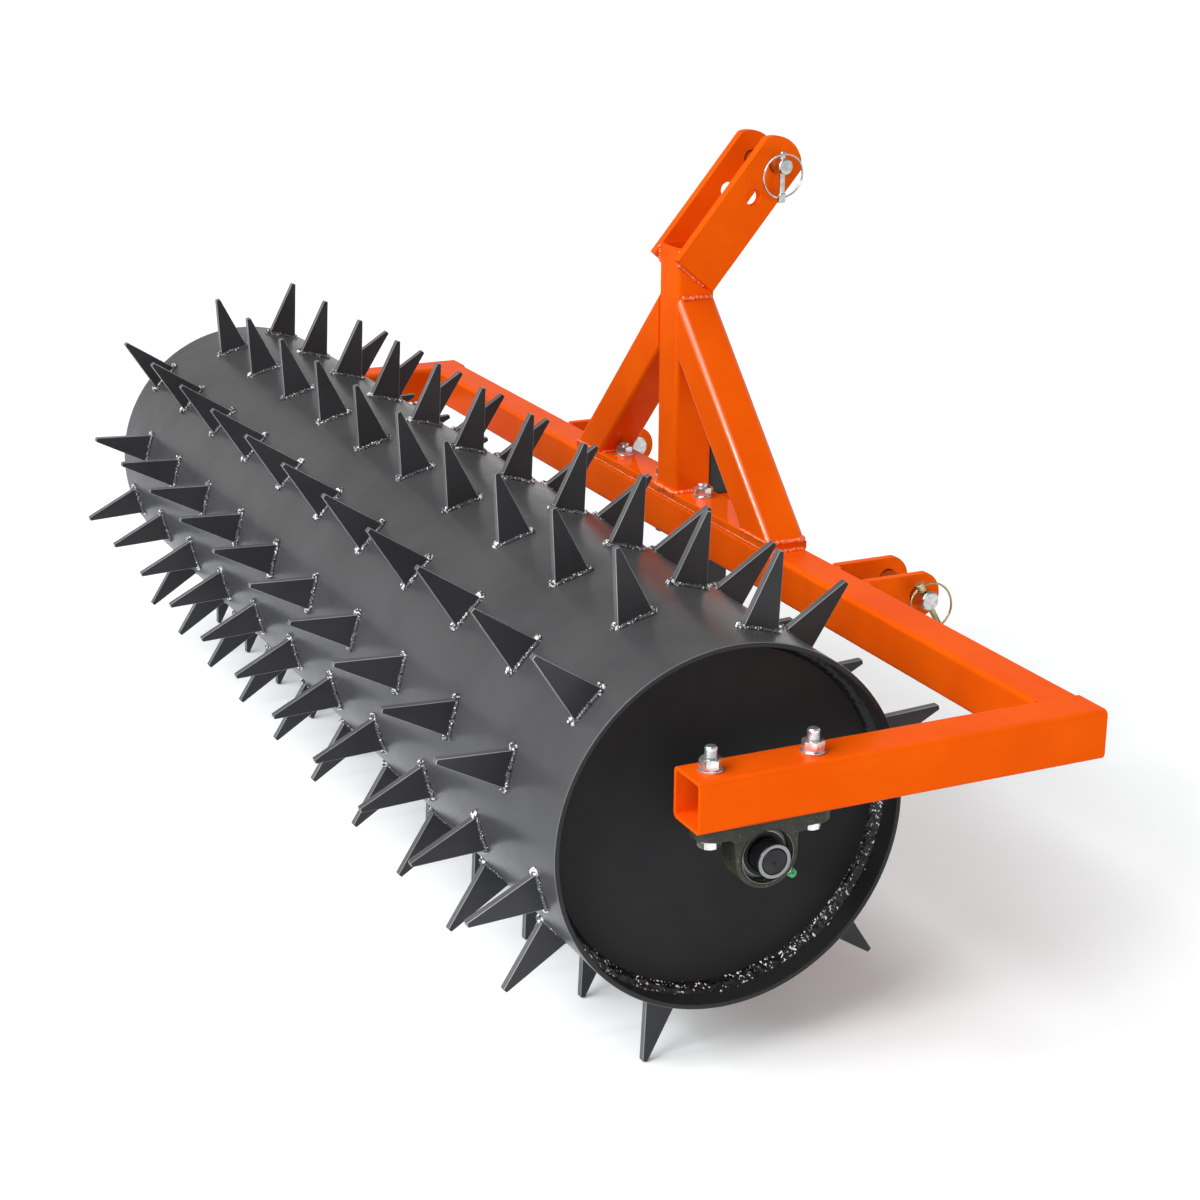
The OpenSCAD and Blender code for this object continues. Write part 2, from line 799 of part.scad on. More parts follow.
at_axis() bearing_housing();  // bearing_housing_right
at_axis() mirror([1, 0, 0]) bearing_housing();  // bearing_housing_left
at_axis() bearing_outer_ring();  // bearing_outer_ring_right
at_axis() mirror([1, 0, 0]) bearing_outer_ring();  // bearing_outer_ring_left
at_axis() bearing_seals();
at_axis() grease_nipples();
at_axis() grease_caps();
at_axis() stand_sleeve();
at_axis() clamp_nut();
at_axis() drum_shell();
at_axis() drum_end_plate();  // drum_end_plate_right
at_axis() mirror([1, 0, 0]) drum_end_plate();  // drum_end_plate_left
at_axis() drum_bulkheads();
at_axis() stub_shaft();  // stub_shaft_right
at_axis() mirror([1, 0, 0]) stub_shaft();  // stub_shaft_left
at_axis() bearing_inner_ring();  // bearing_inner_ring_right
at_axis() mirror([1, 0, 0]) bearing_inner_ring();  // bearing_inner_ring_left
at_axis() bearing_set_screws();
at_axis() bearing_balls();  // bearing_balls_right
at_axis() mirror([1, 0, 0]) bearing_balls();  // bearing_balls_left
at_axis() spike_rows(0);  // spike_rows_01_07
at_axis() spike_rows(1);  // spike_rows_02_08
at_axis() spike_rows(2);  // spike_rows_03_09
at_axis() spike_rows(3);  // spike_rows_04_10
at_axis() spike_rows(4);  // spike_rows_05_11
at_axis() spike_rows(5);  // spike_rows_06_12
at_axis() top_link_pin();
at_axis() lower_hitch_pin();  // lower_hitch_pin_right
at_axis() mirror([1, 0, 0]) lower_hitch_pin();  // lower_hitch_pin_left
at_axis() at_top_lynch() lynch_pin();  // lynch_pin_top
at_axis() at_low_lynch() lynch_pin();  // lynch_pin_right
at_axis() mirror([1, 0, 0]) at_low_lynch() lynch_pin();  // lynch_pin_left
at_axis() at_top_lynch() lynch_ring();  // lynch_ring_top
at_axis() at_low_lynch() lynch_ring();  // lynch_ring_right
at_axis() mirror([1, 0, 0]) at_low_lynch() lynch_ring();  // lynch_ring_left
at_axis() stand_leg();
at_axis() stand_foot();
at_axis() clamp_screw();
at_axis() clamp_bar();
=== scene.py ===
import math
import random

import bmesh
import bpy
from mathutils import Matrix, Vector, noise


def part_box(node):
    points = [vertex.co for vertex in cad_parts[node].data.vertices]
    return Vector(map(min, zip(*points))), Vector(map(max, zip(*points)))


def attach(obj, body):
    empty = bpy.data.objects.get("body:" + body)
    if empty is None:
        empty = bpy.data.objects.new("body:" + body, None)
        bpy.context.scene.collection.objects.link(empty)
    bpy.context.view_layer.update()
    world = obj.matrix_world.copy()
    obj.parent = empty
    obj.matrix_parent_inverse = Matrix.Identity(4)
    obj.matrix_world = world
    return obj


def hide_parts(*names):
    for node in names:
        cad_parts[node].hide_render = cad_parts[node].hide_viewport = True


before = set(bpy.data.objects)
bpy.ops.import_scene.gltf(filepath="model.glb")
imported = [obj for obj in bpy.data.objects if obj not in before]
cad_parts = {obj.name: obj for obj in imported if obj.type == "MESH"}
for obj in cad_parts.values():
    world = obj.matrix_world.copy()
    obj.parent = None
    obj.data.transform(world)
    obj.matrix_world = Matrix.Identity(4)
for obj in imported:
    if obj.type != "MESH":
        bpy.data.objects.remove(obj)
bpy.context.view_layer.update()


# Drum shell
# A rolled and welded steel cylinder, open at both rims, sprayed with a mid-grey satin enamel. The welding
# of the spikes has drawn the skin in a little round each foot, so its reflections run in soft waves.

mm = 1000
shell_low, shell_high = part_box("drum_shell")
drum_axis = (shell_low + shell_high) / 2
half_drum = (shell_high.x - shell_low.x) / 2 * mm
drum_r = (shell_high.z - shell_low.z) / 2 * mm
drum_wall = 5
inner_r = drum_r - drum_wall
shell_steps = 180
shell_stations = 152
rim_edge = 0.7

foot_dip = 0.9
foot_dip_width = 26
most_dips = 1.2
wave_height = 0.25
wave_length = 90

rows = 12
row_step = 360 / rows
row_first = row_step / 2
long_row = 11
spike_pitch = 143

# Shapes are drawn in millimetres from the drum's axis, as on the drawing, and then put in their place
from_axis = Matrix.Translation(drum_axis) @ Matrix.Scale(1 / mm, 4)


def colour(written):
    """A colour written as in the photograph, #rrggbb, as the shader wants it"""
    parts = [int(written[i:i + 2], 16) / 255 for i in (1, 3, 5)]
    return (*[p / 12.92 if p < 0.04045 else ((p + 0.055) / 1.055) ** 2.4 for p in parts], 1)


class Value:
    """A number that varies over a surface, used in ordinary sums"""

    def __init__(self, nodes, socket):
        self.nodes = nodes
        self.socket = socket

    def sum(self, operation, *values):
        return self.nodes.node("ShaderNodeMath", {"operation": operation}, dict(enumerate(values)))

    def __add__(self, other):
        return self.sum("ADD", self, other)

    def __sub__(self, other):
        return self.sum("SUBTRACT", self, other)

    def __rsub__(self, other):
        return self.sum("SUBTRACT", other, self)

    def __mul__(self, other):
        return self.sum("MULTIPLY", self, other)

    __radd__ = __add__
    __rmul__ = __mul__


class Nodes:
    """The nodes of a material or a world: the shader at their end, and one method that adds any other"""

    def __init__(self, owner, shader):
        owner.use_nodes = True
        self.tree = owner.node_tree
        self.shader = self.tree.nodes[shader]

    def feed(self, socket, value):
        if isinstance(value, Value):
            self.tree.links.new(value.socket, socket)
        else:
            socket.default_value = value

    def node(self, kind, settings=None, sockets=None, out=0):
        node = self.tree.nodes.new(kind)
        for key, value in (settings or {}).items():
            setattr(node, key, value)
        for key, value in (sockets or {}).items():
            self.feed(node.inputs[key], value)
        return Value(self, node.outputs[out])


class Finish(Nodes):
    """A finish under way, and the patterns that finishes are made of"""

    def __init__(self, name, **constants):
        self.material = bpy.data.materials.new(name)
        super().__init__(self.material, "Principled BSDF")
        self.done(**constants)

    def done(self, **sockets):
        for socket, value in sockets.items():
            name = socket.replace("_", " ").title().replace("Ior", "IOR")
            self.feed(self.shader.inputs[name], value)
        return self.material

    def mottle(self, per_metre, detail=2, stretch=(1, 1, 1)):
        """Cloudy noise round 0.5, with so many patches to a metre"""
        place = self.node("ShaderNodeTexCoord", out="Object")
        where = self.node("ShaderNodeMapping", {}, {"Vector": place, "Scale": stretch})
        return self.node("ShaderNodeTexNoise", {}, {"Vector": where, "Scale": per_metre, "Detail": detail})

    def ramp(self, value, low, high):
        return self.node("ShaderNodeMapRange", {"interpolation_type": "SMOOTHSTEP"},
                         {"Value": value, "From Min": low, "From Max": high})

    def mix(self, share, first, second):
        return self.node("ShaderNodeMix", {"data_type": "RGBA"}, {0: share, 6: first, 7: second}, out=2)

    def bump(self, height, depth, strength=1.0, over=None):
        sockets = {"Height": height, "Distance": depth, "Strength": strength}
        if over is not None:
            sockets["Normal"] = over
        return self.node("ShaderNodeBump", {}, sockets)


def enamel(name, lit, deep, roughness, ripple=0.0004, peel=0.00001, flecks=None, **constants):
    """Sprayed enamel on steel: cloudy thickness, slow ripples of the plate and a fine orange peel. Over
    weld it can carry painted glints, white specks in the colour that stand in for light catching the lumps:
    so many to a metre, and the noise level at which they start."""
    paint = Finish(name, **constants)
    cloud = paint.ramp(paint.mottle(per_metre=9, detail=4), 0.3, 0.7)
    waves = paint.bump(paint.mottle(per_metre=22, detail=1), ripple)
    skin = paint.bump(paint.mottle(per_metre=700), peel, over=waves)
    cover = paint.mix(cloud, colour(deep), colour(lit))
    if flecks:
        per_metre, level = flecks
        glint_noise = paint.mottle(per_metre) + 0.25 * (paint.mottle(per_metre=60, detail=1) - 0.5)
        # painted glints: white mixed into the colour where the noise is high
        cover = paint.mix(paint.ramp(glint_noise, level, level + 0.04), cover, colour("#f4f4f4"))
    return paint.done(base_color=cover, roughness=roughness + 0.05 * cloud, normal=skin)


def as_mesh(name, shape):
    """Ends the work on a shape and keeps it as a mesh"""
    mesh = bpy.data.meshes.new(name)
    shape.to_mesh(mesh)
    shape.free()
    return mesh


def placed(shape, matrix):
    bmesh.ops.transform(shape, matrix=matrix, verts=shape.verts)
    return shape


def make(name, shape, finishes, body, nodes=(), crease=38):
    """Puts a finished shape in its place, paints it and hands it to its body"""
    mesh = as_mesh(name, placed(shape, from_axis))
    mesh.shade_smooth()
    mesh.set_sharp_from_angle(angle=math.radians(crease))
    piece = bpy.data.objects.new(name, mesh)
    bpy.context.scene.collection.objects.link(piece)
    for finish in finishes if isinstance(finishes, list) else [finishes]:
        mesh.materials.append(finish)
    flats = piece.modifiers.new("even shading of the flats", "WEIGHTED_NORMAL")
    flats.keep_sharp = True
    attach(piece, body)
    if nodes:
        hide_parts(*nodes)


def lathe(profile, steps=96, ring=False):
    """Turns a profile of (x, radius) points about the drum's axis; a ring's profile is closed"""
    shape = bmesh.new()
    points = [shape.verts.new((x, 0, r)) for x, r in profile]
    line = [shape.edges.new(pair) for pair in zip(points, points[1:] + points[:1] * ring)]
    bmesh.ops.spin(shape, geom=points + line, cent=(0, 0, 0), axis=(1, 0, 0), angle=2 * math.pi,
                   steps=steps, use_merge=True)
    bmesh.ops.remove_doubles(shape, verts=shape.verts, dist=0.001)
    bmesh.ops.recalc_face_normals(shape, faces=shape.faces)
    return shape


def soften(shape, width, steps=2):
    """Takes the sharpness off every edge that turns by more than 30 degrees"""
    sharp = [e for e in shape.edges if e.is_manifold and e.calc_face_angle() > math.radians(30)]
    bmesh.ops.bevel(shape, geom=sharp, offset=width, affect="EDGES", segments=steps, profile=0.5,
                    material=-1)
    return shape


def row_turn(row):
    """How far round the drum a row of spikes stands"""
    return math.radians(row_first + row * row_step)


def row_places(row):
    """Where a row's spikes stand along the drum: a long row, or a short one, half a pitch over"""
    count = long_row - row % 2
    return [(i - (count - 1) / 2) * spike_pitch for i in range(count)]


drum_grey = enamel("drum grey enamel", "#474748", "#3f3f40", 0.26, ripple=0.0006, specular_ior_level=0.09)
rim_black = enamel("black enamel inside the rims", "#2b2b2c", "#242425", 0.4, specular_ior_level=0.2)
# painted highlight: the rims' edge is coloured paler to stand in for light catching it
rim_painted_highlight = enamel("painted highlight on the rims' edge", "#626264", "#4e4e50", 0.3)

outside = [(-half_drum + 2 * half_drum * i / shell_stations, drum_r) for i in range(shell_stations + 1)]
shell = lathe(outside + [(half_drum, inner_r), (-half_drum, inner_r)], shell_steps, ring=True)
feet = [Vector((x, drum_r * math.cos(row_turn(row)), drum_r * math.sin(row_turn(row))))
        for row in range(rows) for x in row_places(row)]
for vert in shell.verts:
    out = Vector((0, vert.co.y, vert.co.z))
    if out.length > drum_r - 1 and abs(vert.co.x) < half_drum - 1:
        dips = 0
        for foot in feet:
            if abs(foot.x - vert.co.x) < 3 * foot_dip_width:
                dips += math.exp(-(foot - vert.co).length_squared / foot_dip_width ** 2)
        wave = wave_height * noise.noise(vert.co / wave_length)
        vert.co -= out.normalized() * (foot_dip * min(dips, most_dips) + wave)
soften(shell, rim_edge)
# inner faces take the black of the rims' inside, the rims' edge faces the painted highlight
for face in shell.faces:
    middle = face.calc_center_median()
    if math.hypot(middle.y, middle.z) < drum_r - 1:
        face.material_index = 1
    elif abs(middle.x) > half_drum - rim_edge:
        face.material_index = 2
make("drum_skin", shell, [drum_grey, rim_black, rim_painted_highlight], "drum", ["drum_shell"])


# Drum ends
# Steel discs set into the rims and welded all round from outside with a wide fillet, lumpy where the torch
# was held overhead; that part carries painted glints, white specks in its colour. They are sprayed black
# with the rims' inside. Two more discs inside hold the shafts.

end_recess = 32
end_plate_x = half_drum - end_recess
end_plate_t = 10
bulkhead_gap = 130
bulkhead_x = end_plate_x - end_plate_t - bulkhead_gap
bulkhead_t = 8
hub_r = 18

fillet = 9
fillet_bulge = 1.2
fillet_parts = 10
fillet_steps = 620
fillet_drops = 150
# Height and length of the weld's lumps
lumps = ((1.5, 6), (1.1, 3), (0.6, 1.7))
overhead = Vector((0, 0.3, -0.95))
weld_crease = 60
rng = random.Random(11)


def mirrored(shape):
    """The same piece for the left-hand side"""
    other = shape.copy()
    bmesh.ops.scale(other, vec=(-1, 1, 1), verts=other.verts)
    bmesh.ops.reverse_faces(other, faces=other.faces)
    return other


def make_pair(name, shape, finishes, body, node=None, crease=38):
    """Makes a right-hand piece and the left-hand one, its mirror image"""
    other = mirrored(shape)
    for side, part in (("_right", shape), ("_left", other)):
        make(name + side, part, finishes, body, [node + side] if node else (), crease)


def add_copy(whole, pattern, matrix=Matrix()):
    moved = pattern.copy()
    moved.transform(matrix)
    whole.from_mesh(moved)
    bpy.data.meshes.remove(moved)


def join(whole, part, index=0):
    """Adds a shape to another one, with a finish of its own"""
    for face in part.faces:
        face.material_index = index
    pattern = as_mesh("part", part)
    add_copy(whole, pattern)
    bpy.data.meshes.remove(pattern)


def disc(x, thickness, steps):
    """A disc that fills the drum from a shaft to the shell, with its outer face at x"""
    return lathe([(x - thickness, hub_r), (x - thickness, inner_r), (x, inner_r), (x, hub_r)],
                 steps, ring=True)


def lay_bead(shape, path, size, spacing=0.62, rough=0.18):
    """Lays overlapping drops of weld along a path of points, as a hand-held torch does"""
    for start, end in zip(path, path[1:]):
        start, end = Vector(start), Vector(end)
        run = end - start
        drops = max(1, round(run.length / (size * spacing)))
        lean = run.to_track_quat("X", "Z").to_matrix().to_4x4()
        for i in range(drops):
            place = start + run * ((i + 0.5) / drops)
            place += Vector([rng.uniform(-1, 1) * size * rough for _ in range(3)])
            radius = size * (1 + rng.uniform(-rough, rough))
            add_copy(shape, weld_drop, Matrix.Translation(place) @ lean @
                     Matrix.Diagonal((radius * 0.75, radius, radius, 1)))


end_black = enamel("black enamel of the drum ends", "#2a2a2b", "#232324", 0.45, specular_ior_level=0.1)
bead_black = enamel("black enamel on the weld", "#151516", "#101011", 0.15, peel=0.0001,
                    specular_ior_level=0.2)
# painted glints: white specks in this enamel's colour stand in for light catching the weld's lumps
bead_painted_glints = enamel("black enamel with painted glints on the overhead weld", "#141415", "#0f0f10", 0.12, peel=0.0002,
                      flecks=(300, 0.62), specular_ior_level=0.3)

make_pair("end_disc", soften(disc(end_plate_x, end_plate_t, 160), 0.6), end_black, "drum",
          "drum_end_plate")
bulkhead = disc(bulkhead_x, bulkhead_t, 96)
bulkheads = mirrored(bulkhead)
join(bulkheads, bulkhead)
make("inner_discs", bulkheads, end_black, "drum", ["drum_bulkheads"])

ball = bmesh.new()
bmesh.ops.create_icosphere(ball, subdivisions=2, radius=1)
weld_drop = as_mesh("weld drop", ball)

weld_line = [(end_plate_x - 1, inner_r + 1), (end_plate_x - 1, inner_r - fillet - 0.5)]
for i in range(fillet_parts + 1):
    t = i / fillet_parts
    out = fillet_bulge * math.sin(math.pi * t) / math.sqrt(2)
    weld_line.append((end_plate_x + fillet * t + out, inner_r - fillet * (1 - t) - out))
weld_line.append((end_plate_x + fillet + 0.5, inner_r + 1))
bead = lathe(weld_line, fillet_steps, ring=True)
for vert in bead.verts:
    t = (vert.co.x - end_plate_x) / fillet
    if math.hypot(vert.co.y, vert.co.z) < inner_r + 0.5 and t > -0.05:
        side = Vector((0, vert.co.y, vert.co.z)).normalized()
        lumpy = 0.25 + 0.75 * min(1, max(0, side.dot(overhead) * 1.6 - 0.1))
        heap = sum(height * noise.noise(vert.co / length) for height, length in lumps)
        vert.co += (Vector((1, 0, 0)) - side) * heap * lumpy * math.sin(math.pi * min(1, max(0.06, t)))
for _ in range(fillet_drops):
    turn = math.radians(-72 + rng.gauss(0, 50))
    t = rng.uniform(0.1, 1.3)
    size = rng.uniform(0.5, 1.5)
    reach = inner_r - max(0, fillet * (1 - t)) - 0.3
    place = (end_plate_x + fillet * t, reach * math.cos(turn), reach * math.sin(turn))
    add_copy(bead, weld_drop, Matrix.Translation(place) @ Matrix.Scale(size, 4))
# the overhead part of the fillet takes the enamel with painted glints
for face in bead.faces:
    middle = face.calc_center_median()
    low = Vector((0, middle.y, middle.z)).normalized().dot(overhead)
    if low > 0.3 and 0.05 < (middle.x - end_plate_x) / fillet < 1.4:
        face.material_index = 1
hub_turns = [2 * math.pi * i / 24 for i in range(25)]
bead_r = hub_r + 1
lay_bead(bead, [(end_plate_x + 1, bead_r * math.cos(t), bead_r * math.sin(t)) for t in hub_turns], size=3.4)
make_pair("rim_weld", bead, [bead_black, bead_painted_glints], "drum", crease=weld_crease)


# Spikes
# Triangles of 8 mm plate with a blunt tip, stood across the drum and welded down all round their feet. The
# plates are almost black, with a painted highlight, a paler line, along their corners; the beads share the
# drum's grey, with painted glints, white specks, on their lumps and most at the feet's ends.

spike_len = 76
spike_base = 39
spike_tip = 5
spike_t = 8
foot_sink = 1.5
foot_patterns = 3
foot_bead = 2.6

spike_black = enamel("black enamel of the spikes", "#38383a", "#2e2e2f", 0.34, specular_ior_level=0.25)
# painted highlight: the spikes' bevelled corners are coloured paler to stand in for light catching them
spike_corner_highlight = enamel("painted highlight on the spikes' corners", "#a4a4a6", "#7e7e80", 0.3)
spike_cut = enamel("enamel on the spikes' cut edges", "#565658", "#464648", 0.3, specular_ior_level=0.3)
# painted glints: both weld finishes carry white specks standing in for light on the lumps, denser at the ends
bead_grey = enamel("grey enamel with painted glints on the spike welds", "#454547", "#38383a", 0.15, peel=0.0001,
                   flecks=(450, 0.62), coat_weight=0.4, coat_roughness=0.05)
bead_end_glints = enamel("broken enamel at the ends of the spike welds", "#4a4a4c", "#38383a", 0.12,
                     peel=0.0002, flecks=(340, 0.53), coat_weight=0.7, coat_roughness=0.05)


def thicken(shape, faces, by):
    """Pushes a flat shape out into a solid one"""
    pushed = bmesh.ops.extrude_face_region(shape, geom=faces)
    bmesh.ops.translate(shape, vec=by, verts=[v for v in pushed["geom"] if isinstance(v, bmesh.types.BMVert)])
    bmesh.ops.recalc_face_normals(shape, faces=shape.faces)
    return shape


def weld_run(path, size, ring=7, step=1.5, rough=0.3):
    """One unbroken bead along a path of points, with the ripples and heaps of a hand-held torch"""
    shape = bmesh.new()
    points = [Vector(point) for point in path]
    spots = [points[0]]
    for start, end in zip(points, points[1:]):
        parts = max(1, round((end - start).length / step))
        spots += [start.lerp(end, i / parts) for i in range(1, parts + 1)]
    seed = rng.uniform(0, 500)
    loops = []
    for i, spot in enumerate(spots):
        run = (spots[min(i + 1, len(spots) - 1)] - spots[max(i - 1, 0)]).to_track_quat("X", "Z")
        close = min(1, 0.35 + 0.45 * min(i, len(spots) - 1 - i))
        loop = []
        for j in range(ring):
            turn = 2 * math.pi * (j + 0.5 * (i % 2)) / ring
            aim = run @ Vector((0, math.cos(turn), math.sin(turn)))
            heap = 1 + rough * (noise.noise((i * 0.9 + seed, j * 1.3, 0)) + 0.5 * math.sin(i * 2.4))
            loop.append(shape.verts.new(spot + aim * size * close * heap))
        loops.append(loop)
    for first, second in zip(loops, loops[1:]):
        for j in range(ring):
            shape.faces.new((first[j], first[(j + 1) % ring], second[(j + 1) % ring], second[j]))
    shape.faces.new(loops[0])
    shape.faces.new(loops[-1])
    bmesh.ops.recalc_face_normals(shape, faces=shape.faces)
    return shape


skin_y = math.sqrt(drum_r ** 2 - spike_base ** 2 / 4)
foot_y = skin_y - foot_sink
tip_y = drum_r + spike_len
slope = (spike_base - spike_tip) / 2 / (tip_y - skin_y)
foot_half = spike_base / 2 + foot_sink * slope
spike = bmesh.new()
plate = spike.faces.new([spike.verts.new((-spike_t / 2, y, z)) for y, z in (
    (foot_y, -foot_half), (tip_y, -spike_tip / 2), (tip_y, spike_tip / 2), (foot_y, foot_half))])
soften(thicken(spike, [plate], (spike_t, 0, 0)), 0.5)
# flat faces take the black, bevelled corners the painted highlight, cut edges the cut-edge enamel
for face in spike.faces:
    tilt = abs(face.normal.x)
    face.material_index = 0 if tilt > 0.95 else 2 if tilt < 0.05 else 1
spike_mesh = as_mesh("spike", spike)

foot_welds = []
toe = spike_base / 2
along_foot = [toe * (i / 4 - 1) for i in range(9)]
for _ in range(foot_patterns):
    foot_weld = bmesh.new()
    for side in (-1, 1):
        face_x = side * (spike_t / 2 + 0.5)
        end_z = side * (toe + 0.4)
        join(foot_weld, weld_run([(face_x, math.sqrt(drum_r ** 2 - z * z) + 0.2, z) for z in along_foot],
                                 foot_bead))
        for spread, y, z, size, ring, step in ((1.15, skin_y + 0.3, end_z, 4.3, 9, 0.9),
                                               (0.8, skin_y + 2.6, end_z - side * 1.6, 2.4, 7, 1.1)):
            # the big lumps at each foot's end take index 1, the enamel with denser painted glints
            end_run = [(x * spread, y, z) for x in (-spike_t / 2, 0, spike_t / 2)]
            join(foot_weld, weld_run(end_run, size, ring, step, rough=0.42), 1)
    foot_welds.append(as_mesh("weld of a spike's foot", foot_weld))

for pair in range(rows // 2):
    spikes = bmesh.new()
    beads = bmesh.new()
    for row in (pair, pair + rows // 2):
        for x in row_places(row):
            stand = Matrix.Translation((x, 0, 0)) @ Matrix.Rotation(row_turn(row), 4, "X")
            flip = Matrix.Diagonal((rng.choice((-1, 1)), 1, rng.choice((-1, 1)), 1))
            add_copy(spikes, spike_mesh, stand)
            add_copy(beads, rng.choice(foot_welds), stand @ flip)
    bmesh.ops.recalc_face_normals(beads, faces=beads.faces)
    both = "_%02d_%02d" % (pair + 1, pair + 1 + rows // 2)
    make("spikes" + both, spikes, [spike_black, spike_corner_highlight, spike_cut], "drum",
         ["spike_rows" + both])
    make("spike_welds" + both, beads, [bead_grey, bead_end_glints], "drum", crease=weld_crease)


# Stub shafts
# Turned steel, 36 mm where the discs hold it and 25 mm in the bearing, dulled and darkened by oil. The end
# keeps the small cone of the lathe's centre.

tube_w = 50.8
arm_gap = 23.8
arm_mid = half_drum + arm_gap + tube_w / 2
shaft_r = 12.5
collar_r = shaft_r + 3
ring_in = arm_mid - 14.3
shoulder_x = ring_in - 0.5
shaft_end = arm_mid + tube_w / 2 + 3.4
shaft_root = bulkhead_x - bulkhead_t - 20
hub_end = end_plate_x + 12

shaft_dark = Finish("dark turned steel", metallic=0.55)
rings = shaft_dark.mottle(60, 3, stretch=(30, 1, 1))
shaft_steel = shaft_dark.done(
    base_color=shaft_dark.mix(shaft_dark.ramp(rings, 0.3, 0.7), colour("#1d1d1f"), colour("#2c2c2f")),
    roughness=0.34 + 0.14 * rings,
    normal=shaft_dark.bump(rings, 0.00005))

make_pair("shaft", soften(lathe([
    (shaft_root, 0), (shaft_root, hub_r), (hub_end, hub_r), (hub_end, collar_r), (shoulder_x, collar_r),
    (shoulder_x, shaft_r), (shaft_end - 1, shaft_r), (shaft_end, shaft_r - 1), (shaft_end, 2.6),
    (shaft_end - 2.4, 0)]), 0.35), shaft_steel, "drum", "stub_shaft")


# Bearing rings, balls and seals
# An insert bearing: a blackened inner ring with a bright ground end, locked on the shaft by two set screws,
# a ground outer ring with a round back, balls in a pressed cage, and black rubber seals.

ring_r = 17
ring_out = shaft_end - 0.3
ring_bore = shaft_r + 0.02
seal_x = arm_mid + 7.2
seal_out = 22
screw_x = ring_out - 5.5
screw_angles = (150, 212)
left_hand = Matrix.Diagonal((-1, 1, 1, 1))


def grained(name, dark, light, per_metre, detail, roughness, spread, relief, **constants):
    """A skin with one fine grain through its colour, its gloss and its relief"""
    finish = Finish(name, **constants)
    grain = finish.mottle(per_metre, detail)
    return finish.done(base_color=finish.mix(grain, colour(dark), colour(light)),
                       roughness=roughness + spread * grain, normal=finish.bump(grain, relief))


def add_both(whole, part):
    """Adds a shape and its mirror image on the left-hand side"""
    pattern = as_mesh("right and left", part)
    add_copy(whole, pattern)
    add_copy(whole, pattern, left_hand)
    bpy.data.meshes.remove(pattern)
    bmesh.ops.recalc_face_normals(whole, faces=whole.faces)


def coat(finish, *nodes):
    """Gives CAD nodes whose shape is right their finish"""
    for name in nodes:
        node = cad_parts[name]
        node.data.materials.clear()
        node.data.materials.append(finish)


ring_black = enamel("blackened bearing steel", "#2c2c2e", "#232325", 0.2, ripple=0.00002, peel=0.000005,
                    metallic=0.5, coat_weight=0.6, coat_roughness=0.1)
ground_steel = grained("ground bearing steel", "#7e7f81", "#98999b", per_metre=500, detail=2,
                       roughness=0.22, spread=0.12, relief=0.00002, metallic=1)
seal_rubber = grained("black seal rubber", "#101010", "#1a1a1a", per_metre=900, detail=3,
                      roughness=0.45, spread=0.2, relief=0.00004, specular_ior_level=0.4)

inner_ring = soften(lathe([(ring_in, ring_bore), (ring_in, ring_r), (ring_out, ring_r),
                           (ring_out, ring_bore)], ring=True), 1.3, steps=3)
for face in inner_ring.faces:
    if abs(face.normal.x) > 0.8:
        face.material_index = 1
make_pair("inner_ring", inner_ring, [ring_black, ground_steel], "drum",
          "bearing_inner_ring")

screws = bmesh.new()
for angle in screw_angles:
    screw = lathe([(ring_r - 4.2, 0), (ring_r - 4.2, 3), (ring_r - 0.9, 3), (ring_r - 0.5, 2.6),
                   (ring_r - 0.5, 1.7), (ring_r - 3, 1.5), (ring_r - 3, 0)], 24)
    stand_up = Matrix.Rotation(math.radians(angle), 4, "X") @ Matrix.Rotation(math.radians(-90), 4, "Y")
    add_both(screws, placed(screw, Matrix.Translation((screw_x, 0, 0)) @ stand_up))
make("set_screws", screws, ring_black, "drum", ["bearing_set_screws"])

seals = bmesh.new()
for x, out in ((seal_x, 1), (2 * arm_mid - seal_x, -1)):
    add_both(seals, lathe([
        (x, 17.3), (x, seal_out), (x + out * 0.9, seal_out), (x + out * 0.9, 21.2), (x + out * 1.2, 20.8),
        (x + out * 1.2, 18.8), (x + out * 0.7, 18.2), (x + out * 1.0, 17.3)], ring=True))
for face in seals.faces:
    middle = face.calc_center_median()
    if math.hypot(middle.y, middle.z) > seal_out - 0.9 and abs(face.normal.x) > 0.5:
        face.material_index = 1
make("seals", seals, [seal_rubber, ground_steel], "frame", ["bearing_seals"])

coat(ring_black, "bearing_outer_ring_right", "bearing_outer_ring_left")
coat(ground_steel, "bearing_balls_right", "bearing_balls_left")


# Bearing housings
# Sand-cast iron pillow blocks, hung upside down under the arms. The skin is coarse, the edges are soft from
# the mould, the paint is a dull dark olive, and the lips round the insert are machined bare.

casting_grain = 1.1
casting_crease = 80
lip_x = 16

iron = Finish("olive painted casting", specular_ior_level=0.4)
sand = iron.mottle(520, 5)
pits = iron.ramp(iron.mottle(240, 3), 0.56, 0.72)
olive = iron.mix(iron.ramp(iron.mottle(60, 4), 0.35, 0.65), colour("#1f2118"), colour("#2b2e21"))
cast_green = iron.done(
    base_color=iron.mix(iron.ramp(iron.mottle(420, 3), 0.63, 0.71), olive, colour("#585b49")),
    roughness=0.4 + 0.25 * sand,
    normal=iron.bump(sand - 0.6 * pits, 0.0006, 0.9))
lip_steel = grained("machined edge of the casting", "#55564e", "#8b8c84", per_metre=300, detail=3,
                    roughness=0.25, spread=0.2, relief=0.00003, metallic=0.8)


def from_cad(name):
    """A shape to work on from a CAD node, with its loose triangles joined"""
    shape = bmesh.new()
    shape.from_mesh(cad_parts[name].data)
    placed(shape, from_axis.inverted())
    bmesh.ops.remove_doubles(shape, verts=shape.verts, dist=0.003)
    return shape


